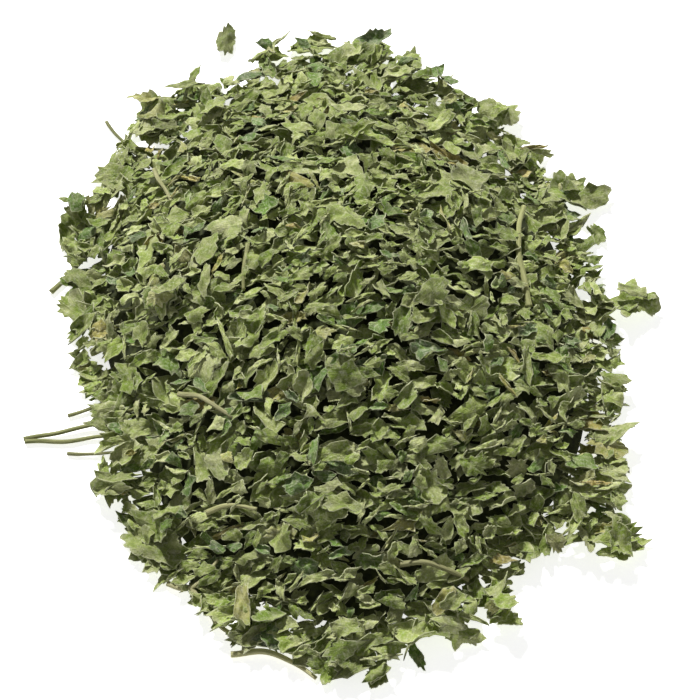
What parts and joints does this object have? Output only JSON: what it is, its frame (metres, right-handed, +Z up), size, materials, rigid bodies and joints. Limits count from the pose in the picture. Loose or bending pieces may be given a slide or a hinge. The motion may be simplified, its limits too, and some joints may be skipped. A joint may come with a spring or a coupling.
{
  "type": "heap of dried parsley flakes",
  "caption": "Low mound of torn, dried parsley leaf flakes with a few bits of dried stem, lying loose on a flat surface.",
  "frame": {"origin": "middle of the heap's box, on the surface that the heap lies on", "axes": "+Z up, +Y from the near side to the far side of the heap as pictured, +X to the right"},
  "size_m": [0.1168, 0.1401, 0.0275],
  "materials": {
    "leaf": "matte, dry and finely wrinkled, olive to grey green",
    "stem": "matte, dry straw to olive green, ridged lengthwise"
  },
  "bodies": {
    "root": {"stem_01": "stem", "stem_02": "stem", "stem_03": "stem", "stem_04": "stem", "stem_05": "stem", "stem_06": "stem", "stem_07": "stem", "stem_08": "stem", "stem_09": "stem", "stem_10": "stem", "stem_11": "stem", "stem_12": "stem", "stem_13": "stem", "stray_flake_1": "leaf", "stray_flake_2": "leaf", "stray_flake_3": "leaf", "top_leaf_01": "leaf", "top_leaf_02": "leaf", "top_leaf_03": "leaf", "top_leaf_04": "leaf", "top_leaf_05": "leaf", "top_leaf_06": "leaf", "top_leaf_07": "leaf", "top_leaf_08": "leaf", "top_leaf_09": "leaf", "top_leaf_10": "leaf", "rim_leaf_01": "leaf", "rim_leaf_02": "leaf", "rim_leaf_03": "leaf", "rim_leaf_04": "leaf", "rim_leaf_05": "leaf", "rim_leaf_06": "leaf", "rim_leaf_07": "leaf", "rim_leaf_08": "leaf", "rim_leaf_09": "leaf", "rim_leaf_10": "leaf", "rim_leaf_11": "leaf", "rim_leaf_12": "leaf", "rim_leaf_13": "leaf", "rim_leaf_14": "leaf", "rim_leaf_15": "leaf", "rim_leaf_16": "leaf", "rim_leaf_17": "leaf", "rim_leaf_18": "leaf", "rim_leaf_19": "leaf", "rim_leaf_20": "leaf", "rim_leaf_21": "leaf", "rim_leaf_22": "leaf", "rim_leaf_23": "leaf", "flake_heap": "leaf"}
  },
  "joints": []
}
